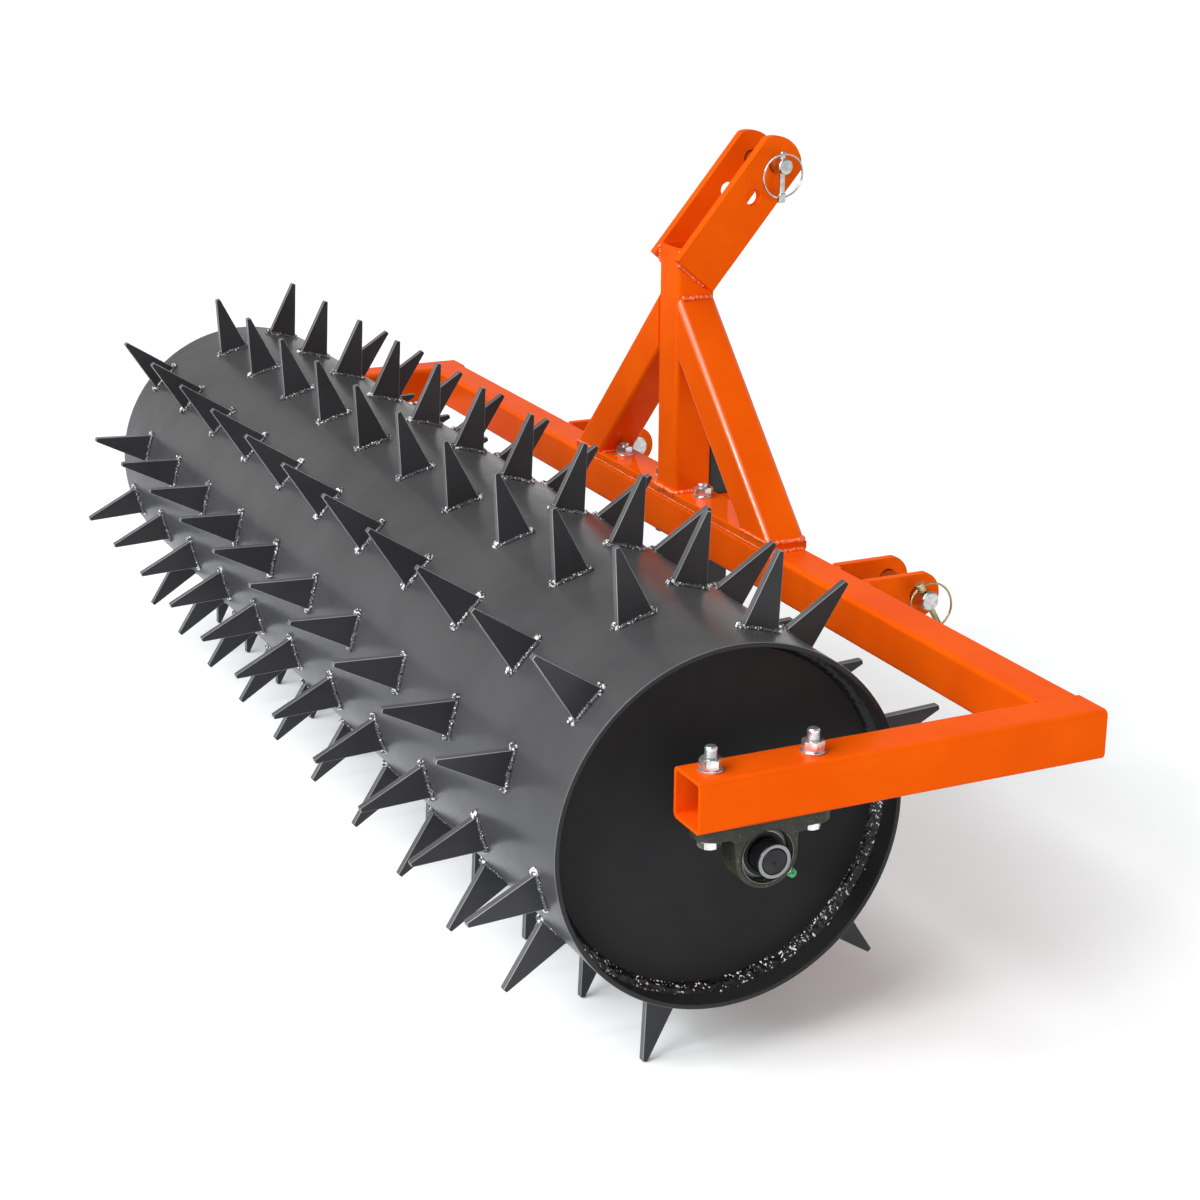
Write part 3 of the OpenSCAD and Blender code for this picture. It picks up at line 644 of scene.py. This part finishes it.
for side in ("_right", "_left"):
    block = bpy.data.objects.new("casting", as_mesh("casting", from_cad("bearing_housing" + side)))
    bpy.context.scene.collection.objects.link(block)
    melt = block.modifiers.new("one skin", "REMESH")
    melt.mode = "VOXEL"
    melt.voxel_size = casting_grain
    skin = bpy.data.meshes.new_from_object(block.evaluated_get(bpy.context.evaluated_depsgraph_get()))
    bpy.data.objects.remove(block)
    casting = bmesh.new()
    casting.from_mesh(skin)
    for _ in range(3):
        bmesh.ops.smooth_vert(casting, verts=casting.verts, factor=0.5, use_axis_x=True, use_axis_y=True,
                              use_axis_z=True)
    make("housing" + side, casting, cast_green, "frame", ["bearing_housing" + side],
         casting_crease)

lips = bmesh.new()
for out in (1, -1):
    x = arm_mid + out * lip_x
    add_both(lips, lathe([(x - out * 1.2, 26.1), (x + out * 0.05, 26.2), (x + out * 0.15, 26.5),
                          (x + out * 0.05, 26.8), (x - out * 1.2, 26.9)], ring=True))
make("housing_lips", lips, lip_steel, "frame")


# Grease nipples
# A plated nipple is screwed into each housing and points down to the front, under a bright green push-on
# plastic cap with a small grip at its side.

nipple_x = 6
nipple_turn = -40
cap_foot = 36.6

bright = Finish("bright zinc plate", metallic=1)
plating = bright.mottle(160, 4)
zinc = bright.done(
    base_color=bright.mix(bright.ramp(plating, 0.3, 0.7), colour("#aaa9a7"), colour("#d2d1ce")),
    roughness=0.14 + 0.16 * plating,
    normal=bright.bump(bright.mottle(900), 0.00003))
cap_green = grained("green plastic cap", "#0d9a49", "#1bb85c", per_metre=300, detail=2,
                    roughness=0.28, spread=0.12, relief=0.00005, coat_weight=0.2)
coat(zinc, "grease_nipples")

cap = lathe([(cap_foot + along, r) for along, r in (
    (0, 3.05), (0, 4.9), (0.9, 5.0), (1.4, 4.6), (5.5, 4.5), (6.9, 3.9), (7.8, 2.4), (8.1, 0), (5.4, 0),
    (5.4, 3.05))], 32, ring=True)
grip = bmesh.new()
bmesh.ops.create_icosphere(grip, subdivisions=2, radius=1,
                           matrix=Matrix.Translation((cap_foot + 2.3, -4.6, 0)) @
                           Matrix.Diagonal((1.6, 2.2, 1.2, 1)))
join(cap, grip)
aim = Matrix.Rotation(math.radians(nipple_turn), 4, "X") @ Matrix.Rotation(math.radians(90), 4, "Z")
caps = bmesh.new()
add_both(caps, placed(cap, Matrix.Translation((arm_mid + nipple_x, 0, 0)) @ aim))
make("caps", caps, cap_green, "frame", ["grease_caps"])


# Side arms and cross tube
# Two-inch square steel tube with rounded corners, cut square and welded into a U, then sprayed with a
# glossy orange enamel inside and out. The arms are open at the back and capped flush at the front.

tube_wall = 4
tube_corner = 6
arm_low = 36.5
arm_top = arm_low + tube_w
frame_mid_z = arm_low + tube_w / 2
frame_reach = 363
arm_tail = 76
arm_in = arm_mid - tube_w / 2
cross_mid = frame_reach - tube_w / 2
rear, front = cross_mid - tube_w / 2, cross_mid + tube_w / 2

orange = enamel("orange enamel", "#f8620b", "#ee5808", 0.28, metallic=0.2, specular_ior_level=0.02,
                specular_tint=colour("#f26008"))
orange_weld = enamel("glossy orange enamel on weld", "#f2640c", "#ea5a08", 0.14, ripple=0.0001, peel=0.0001,
                     specular_ior_level=0.6, coat_weight=0.6, coat_roughness=0.04)


def square_tube(length):
    """Square tube with round corners, standing on z = 0"""
    shape = bmesh.new()
    rims = []
    for size, bend in ((tube_w, tube_corner), (tube_w - 2 * tube_wall, tube_corner - tube_wall)):
        corners = [shape.verts.new((x * size / 2, y * size / 2, 0))
                   for x, y in ((1, 1), (-1, 1), (-1, -1), (1, -1))]
        shape.faces.new(corners)
        bmesh.ops.bevel(shape, geom=corners, offset=bend, affect="VERTICES", segments=7, profile=0.5,
                        material=-1)
        shape.faces.ensure_lookup_table()
        sheet = shape.faces[-1]
        rims += sheet.edges
        bmesh.ops.delete(shape, geom=[sheet], context="FACES_ONLY")
    bmesh.ops.bridge_loops(shape, edges=rims)
    return thicken(shape, shape.faces[:], (0, 0, length))


def dress(name, nodes, width, finish, body, steps=2):
    """Makes a piece of CAD nodes whose shape is right, with their edges broken"""
    whole = bmesh.new()
    for node in nodes:
        part = from_cad(node)
        bmesh.ops.dissolve_limit(part, angle_limit=math.radians(0.5), verts=part.verts, edges=part.edges)
        join(whole, soften(part, width, steps))
    make(name, whole, finish, body, nodes)


arm = placed(soften(square_tube(frame_reach + arm_tail), 0.6),
             Matrix.Translation((arm_mid, frame_reach, frame_mid_z)) @ Matrix.Rotation(math.pi / 2, 4, "X"))
make_pair("arm", arm, orange, "frame", "side_arm")
cross = placed(square_tube(2 * arm_in),
               Matrix.Translation((-arm_in, cross_mid, frame_mid_z)) @ Matrix.Rotation(math.pi / 2, 4, "Y"))
make("cross_bar", cross, orange, "frame", ["cross_tube"])
dress("front_caps", ["arm_front_caps"], 0.5, orange, "frame")

corner_beads = bmesh.new()
lay_bead(corner_beads, [(arm_in - 0.5, rear - 0.5, arm_low + 6), (arm_in - 0.5, rear - 0.5, arm_top - 6)],
         size=3.2, spacing=0.8)
for z, sign in ((arm_top, 1), (arm_low, -1)):
    flush = bmesh.new()
    strip = flush.faces.new([
        flush.verts.new((arm_in + over, rear + 4.5, z + sign * proud))
        for over, proud in ((-0.8, -0.12), (2.8, 0.02), (6.6, -0.12), (6.6, -3), (-0.8, -6))])
    join(corner_beads, soften(thicken(flush, [strip], (0, tube_w - 9, 0)), 0.8), 1)
make_pair("corner_weld", corner_beads, [orange_weld, orange], "frame", crease=weld_crease)


# Mast
# A flat plate lies on the cross tube. A post and two braces of the same square tube stand on it, the braces
# cut to lean in against the post, all welded by hand and sprayed in the frame's orange.

plate_t = 10
plate_top = arm_top + plate_t
plate_half = 265
post_h = 305
post_top = plate_top + post_h
post_side = tube_w / 2
brace_foot = 264
brace_rise = 243.7
brace_lean = math.atan2(brace_rise, brace_foot - post_side)
brace_stock = 600
brace_overlap = 100

orange_thick = enamel("thick glossy orange enamel on the mast's corners", "#f0620c", "#ea5a08", 0.12,
                      ripple=0.0001, specular_ior_level=0.6, coat_weight=0.8, coat_roughness=0.05)
orange_glossy = enamel("glossy orange enamel of the mast's plate", "#f2640c", "#ec5c08", 0.16,
                       ripple=0.0003, metallic=0.2, specular_ior_level=0, specular_tint=colour("#f26008"),
                       coat_weight=0.25, coat_roughness=0.02)


def trim(shape, point, normal):
    """Saws a tube through, keeps what lies behind the normal, and closes the cut wall"""
    cut = bmesh.ops.bisect_plane(shape, geom=shape.verts[:] + shape.edges[:] + shape.faces[:],
                                 plane_co=point, plane_no=normal, clear_outer=True)
    bmesh.ops.bridge_loops(shape, edges=[e for e in cut["geom_cut"] if isinstance(e, bmesh.types.BMEdge)])


dress("mast_plate", ["mast_base_plate"], 1.4, orange_glossy, "frame", steps=3)
post = placed(soften(square_tube(post_h), 0.5), Matrix.Translation((0, cross_mid, plate_top)))
make("post", post, orange, "frame", ["mast_post"])

brace = square_tube(brace_stock)
for face in brace.faces:
    face.material_index = int(sorted(abs(part) for part in face.normal)[1] > 0.05)
placed(brace, Matrix.Translation((brace_foot, cross_mid, plate_top)) @
       Matrix.Rotation(brace_lean - math.pi / 2, 4, "Y") @
       Matrix.Translation((-tube_w / 2, 0, -brace_overlap)))
trim(brace, (0, 0, plate_top), (0, 0, -1))
trim(brace, (post_side, 0, 0), (-1, 0, 0))
bmesh.ops.recalc_face_normals(brace, faces=brace.faces)
left_brace = mirrored(brace)
for face in left_brace.faces:
    face.material_index = 0
make("brace_right", brace, [orange, orange_thick], "frame", ["mast_brace_right"])
make("brace_left", left_brace, orange, "frame", ["mast_brace_left"])

mast_beads = bmesh.new()
foot_in = brace_foot - tube_w / math.sin(brace_lean)
top_out = plate_top + brace_rise
top_in = plate_top + brace_rise - tube_w / math.cos(brace_lean)
post_bead = post_side + 0.6
foot_z = plate_top + 0.6


def bead_across(x, z, size, inset=6):
    """A bead straight across the mast, from behind it to its front"""
    lay_bead(mast_beads, [(x, rear + inset, z), (x, front - inset, z)], size, spacing=0.75)


lay_bead(mast_beads, [(x * post_bead, cross_mid + y * post_bead, foot_z)
                      for x, y in ((-1, -1), (1, -1), (1, 1), (-1, 1), (-1, -1))],
         size=3.4, spacing=0.75)
for s in (-1, 1):
    bead_across(s * (brace_foot - 1), foot_z, 3.2)
    bead_across(s * (foot_in - 1), foot_z, 3.2)
    for y in (rear, front):
        lay_bead(mast_beads, [(s * (foot_in + 4), y, plate_top + 0.8),
                              (s * (brace_foot - 5), y, plate_top + 0.8)], size=2.2, spacing=0.8)
    bead_across(s * post_bead, top_out + 0.4, 3.4)
    bead_across(s * post_bead, top_in - 0.4, 3)
    bead_across(s * (plate_half + 0.3), arm_top + 0.4, 3.2, inset=4)
for y in (rear + 1.8, front - 1.8):
    lay_bead(mast_beads, [(-plate_half + 2, y, arm_top - 0.6), (plate_half - 2, y, arm_top - 0.6)],
             size=2.2, spacing=0.9)
make("mast_welds", mast_beads, orange_weld, "frame", crease=weld_crease)


# Top link plates
# Two 12 mm flat bars with round ends and a pair of pin holes are welded on the sides of the post and slope
# up to the front.

link_turn = math.radians(50)
link_foot = Vector((0, cross_mid - 8, post_top - 33))
link_dir = Vector((0, math.cos(link_turn), math.sin(link_turn)))
link_up = Vector((0, -math.sin(link_turn), math.cos(link_turn)))

dress("link_plates", ["top_link_plate_right", "top_link_plate_left"], 0.9, orange, "frame")


def foot_line(y):
    """Where the line along a link plate's foot reaches a given y"""
    return link_foot + link_up * ((y - link_foot.y) / link_up.y)


link_beads = bmesh.new()
for s in (-1, 1):
    x = Vector((s * (post_side + 0.5), 0, 0))
    for start, end in (
            (foot_line(rear + 2), Vector((0, rear + 2, post_top - 4))),
            (Vector((0, front - 1, foot_line(front - 2).z + 18)), Vector((0, front - 1, post_top - 2))),
            (link_foot + link_up * 22 - link_dir * 0.4, link_foot - link_up * 22 - link_dir * 0.4)):
        lay_bead(link_beads, [x + start, x + end], size=3.2, spacing=0.75)
make("link_welds", link_beads, orange_weld, "frame", crease=weld_crease)


# Lower hitch lugs
# Pairs of 10 mm plates, as tall as the tube and round at the front, welded on the front of the cross tube
# 56 mm apart to take the ends of the tractor's lower links.

lug_faces = ((325, -1), (335, 1), (391, -1), (401, 1))

dress("hitch_lugs", ["hitch_lug_right_outer", "hitch_lug_right_inner", "hitch_lug_left_inner",
                     "hitch_lug_left_outer"], 0.9, orange, "frame")
lug_beads = bmesh.new()
for s in (-1, 1):
    for face_x, side in lug_faces:
        x = s * (face_x + side * 0.8)
        lay_bead(lug_beads, [(x, frame_reach + 0.6, z) for z in (arm_low + 3, arm_top - 3)],
                 size=3, spacing=0.75)
make("lug_welds", lug_beads, orange_weld, "frame", crease=weld_crease)


# Bolts, nuts and washers
# M12 bolts, bright zinc plated: four hold the mast's plate and four the bearing housings, put in from below
# with chamfered hexagon heads. Threads stand above the nuts, and washers lie under nuts and heads.

nut_af = 19
nut_h = 10
head_h = 7.5
bolt_r = 6
thread = 1.75
washer_r = 12
washer_t = 2.5
flange_t = 13
housing_bolt_y = 52.5
upright = Matrix.Rotation(math.radians(-90), 4, "Y")

passivated = Finish("bright bolt plating", metallic=0.85, specular_ior_level=0.8)
skin = passivated.ramp(passivated.mottle(140, 3), 0.3, 0.7)
bolt_zinc = passivated.done(
    base_color=passivated.mix(skin, colour("#c4c4c4"), colour("#eaeaea")),
    roughness=0.16 + 0.1 * skin,
    normal=passivated.bump(passivated.mottle(900), 0.00003))


def hexagon(low, high, hole=0):
    """Nut or bolt head along X, its corners turned off at 30 degrees as on the lathe"""
    apothem = nut_af / 2
    dressing = apothem * 0.97
    fall = math.tan(math.radians(30))
    drop = (nut_af / math.sqrt(3) - dressing) * fall
    shape = lathe([(low, hole), (low, dressing), (low + drop, apothem), (high - drop, apothem),
                   (high, dressing), (high, hole)], 48, ring=hole > 0)
    for vert in shape.verts:
        radius = math.hypot(vert.co.y, vert.co.z)
        if abs(radius - apothem) < 0.01:
            turn = math.atan2(vert.co.z, vert.co.y)
            off = (turn + math.pi / 6) % (math.pi / 3) - math.pi / 6
            reach = apothem / math.cos(off)
            if vert.co.x < (low + high) / 2:
                vert.co.x = low + (reach - dressing) * fall
            else:
                vert.co.x = high - (reach - dressing) * fall
            vert.co.y *= reach / radius
            vert.co.z *= reach / radius
    return shape


def bolt(low, top, threaded):
    """Bolt along X with a plain shank and ridges of thread up to its end"""
    profile = [(low, 0), (low, bolt_r), (top - threaded, bolt_r)]
    x = top - threaded
    while x + thread < top - 1.6:
        profile += [(x + thread * 0.3, bolt_r - 0.85), (x + thread * 0.5, bolt_r - 0.85),
                    (x + thread * 0.85, bolt_r), (x + thread, bolt_r)]
        x += thread
    profile += [(top - 1.4, bolt_r), (top, bolt_r - 1.3), (top, 0)]
    shank = lathe(profile, 32)
    join(shank, hexagon(low - head_h, low))
    return as_mesh("bolt", shank)


def nut(low):
    return as_mesh("nut", hexagon(low, low + nut_h, bolt_r + 0.05))


def washer(low):
    return as_mesh("washer", soften(lathe([
        (low, bolt_r + 0.5), (low, washer_r), (low + washer_t, washer_r), (low + washer_t, bolt_r + 0.5)],
        48, ring=True), 0.4))


def many(name, groups, node):
    """Stands copies of fasteners upright at their places and turns each one a little differently"""
    shape = bmesh.new()
    for pattern, places in groups:
        for x, y in places:
            add_copy(shape, pattern, Matrix.Translation((x, y, 0)) @
                     Matrix.Rotation(rng.uniform(-0.35, 0.35), 4, "Z") @ upright)
    make(name, shape, bolt_zinc, "frame", [node])


mast_places = [(s * x, cross_mid) for s in (-1, 1) for x in (post_side + 25.6, foot_in - 23.4)]
bearing_places = [(s * arm_mid, y) for s in (-1, 1) for y in (-housing_bolt_y, housing_bolt_y)]
mast_low = arm_low - washer_t
bearing_low = arm_low - flange_t - washer_t

many("bolts_mast", [(bolt(mast_low, plate_top + 17.5, threaded=16), mast_places)], "mast_bolts")
many("bolts_bearing", [(bolt(bearing_low, arm_top + 23.5, threaded=22), bearing_places)], "bearing_bolts")
many("nuts", [(nut(plate_top + washer_t), mast_places), (nut(arm_top + washer_t), bearing_places)],
     "hex_nuts")
many("washers", [(washer(plate_top), mast_places), (washer(mast_low), mast_places),
                 (washer(arm_top), bearing_places), (washer(bearing_low), bearing_places)],
     "flat_washers")


# Hitch pins
# Turned steel pins with a round head, 22 mm for the lower links and 19 mm for the top link, in pale zinc
# plate. Each one passes both plates of its hitch and is free to turn in them.

for node, body, slot in (("top_link_pin", "top_pin", "bright_zinc"),
                         ("lower_hitch_pin_right", "lower_pin_right", "yellow_zinc"),
                         ("lower_hitch_pin_left", "lower_pin_left", "yellow_zinc")):
    dress(node.replace("_pin", "_pin_turned"), [node], 0.5, zinc, body)


# Lynch pins
# A small turned pin drops through each hitch pin, held by a sprung wire ring that hinges in its head and
# snaps over the hitch pin's end. The top one is bright zinc, the lower ones have a yellowish plate.

golden = Finish("yellow zinc plate", metallic=1)
tint = golden.ramp(golden.mottle(70, 4), 0.3, 0.7)
gold_zinc = golden.done(
    base_color=golden.mix(tint, colour("#94835c"), colour("#c6b389")),
    roughness=0.2 + 0.14 * golden.mottle(300, 3),
    normal=golden.bump(golden.mottle(900), 0.00003))

for key, finish, slot in (("top", zinc, "bright_zinc"), ("right", gold_zinc, "yellow_zinc"),
                          ("left", gold_zinc, "yellow_zinc")):
    dress("lynch_%s_turned" % key, ["lynch_pin_" + key], 0.7, finish, "lynch_" + key)
    coat(finish, "lynch_ring_" + key)


# Parking stand
# A black square leg slides in a short sleeve on the front of the cross tube and stands on a square foot. A
# clamp screw with a cross bar presses on it through a nut welded on the sleeve.

stand_black = enamel("black powder coat", "#29292b", "#222224", 0.5, peel=0.00012)

dress("leg", ["stand_leg"], 0.4, stand_black, "stand")
dress("foot", ["stand_foot"], 0.8, stand_black, "stand")
dress("sleeve", ["stand_sleeve", "clamp_nut"], 0.6, orange, "frame")
dress("clamp", ["clamp_screw"], 0.5, zinc, "clamp")
dress("clamp_handle", ["clamp_bar"], 1.0, zinc, "clamp", steps=3)


# Studio
# A pale seamless floor in a plain pale room. A broad key light and a small soft box shine from behind and
# above, a larger soft box from the near end and a fill from the right, as the photograph's camera sees it.

floor_glow = 0.16
room_light = 0.28
room_seen_low, room_seen_high = 1.0, 0.4
lamp_target = Vector((0, 0, 0.3))
camera_place = Vector((2504.7, -968.3, 887.0))
camera_lens = 69.99
azimuth, elevation, roll = (math.radians(a) for a in (64.56, 18.43, 0.41))


def looked_at(nodes):
    """1 where the camera or a reflection looks, and 0 for the light that falls on the object"""
    rays = [nodes.node("ShaderNodeLightPath", out=ray)
            for ray in ("Is Camera Ray", "Is Glossy Ray", "Is Transmission Ray")]
    return rays[0] + rays[1] + rays[2]


def lamp(name, kind, toward, distance, power, **sizes):
    """A lamp that shines on the middle of the drum from a direction"""
    light = bpy.data.lights.new(name, kind)
    light.energy = power
    for key, value in sizes.items():
        setattr(light, key, value)
    holder = bpy.data.objects.new(name, light)
    bpy.context.scene.collection.objects.link(holder)
    holder.location = lamp_target + Vector(toward).normalized() * distance
    holder.rotation_euler = Vector(toward).to_track_quat("Z", "Y").to_euler()


floor_finish = Finish("pale studio floor", base_color=(0.925, 0.96, 0.965, 1), roughness=0.9,
                      specular_ior_level=0, emission_strength=1)
floor_finish.done(emission_color=floor_finish.mix(
    looked_at(floor_finish), (0, 0, 0, 1), (floor_glow, floor_glow, floor_glow, 1)))
floor_shape = bmesh.new()
bmesh.ops.create_grid(floor_shape, x_segments=1, y_segments=1, size=40)
bmesh.ops.translate(floor_shape, vec=(0, 0, -0.0004), verts=floor_shape.verts)
floor_mesh = as_mesh("floor", floor_shape)
floor_mesh.materials.append(floor_finish.material)
floor = bpy.data.objects.new("floor", floor_mesh)
bpy.context.scene.collection.objects.link(floor)

world = bpy.data.worlds.new("studio")
bpy.context.scene.world = world
room = Nodes(world, "Background")
way = room.node("ShaderNodeTexCoord", out="Generated")
height = room.node("ShaderNodeSeparateXYZ", {}, {0: way}, out="Z")
seen = room.node("ShaderNodeMapRange", {}, {
    "Value": height, "From Min": 0.17, "From Max": 0.5, "To Min": room_seen_low, "To Max": room_seen_high})
level = room.node("ShaderNodeMapRange", {}, {
    "Value": looked_at(room), "To Min": room_light, "To Max": seen})
room.feed(room.shader.inputs["Color"], (1, 1, 1, 1))
room.feed(room.shader.inputs["Strength"], level)

lamp("broad key light", "SUN", (-0.05, -0.6, 0.8), distance=6, power=2.5, angle=math.radians(60))
lamp("soft box at the near end", "AREA", (0.55, -0.72, 0.42), distance=2.7, power=30, shape="RECTANGLE",
     size=1.1, size_y=0.7)
lamp("small soft box", "AREA", (0.08, -0.77, 0.63), distance=5, power=26, shape="RECTANGLE", size=0.45,
     size_y=0.35)
lamp("fill from the right", "AREA", (0.84, -0.25, 0.45), distance=5.5, power=16, shape="RECTANGLE", size=3,
     size_y=2)

back = Vector((math.sin(azimuth) * math.cos(elevation), -math.cos(azimuth) * math.cos(elevation),
               math.sin(elevation)))
right = Vector((0, 0, 1)).cross(back).normalized()
up = back.cross(right)
tilted_right = right * math.cos(roll) + up * math.sin(roll)
tilted_up = up * math.cos(roll) - right * math.sin(roll)
camera_data = bpy.data.cameras.new("camera of the photograph")
camera_data.lens = camera_lens
camera_data.sensor_width = 36
camera_data.sensor_height = 36
camera_data.clip_end = 100
camera = bpy.data.objects.new("camera of the photograph", camera_data)
turned = Matrix((tilted_right, tilted_up, back)).transposed().to_4x4()
camera.matrix_world = Matrix.Translation(from_axis @ camera_place) @ turned
bpy.context.scene.collection.objects.link(camera)
bpy.context.scene.camera = camera
bpy.context.scene.view_settings.view_transform = "Standard"
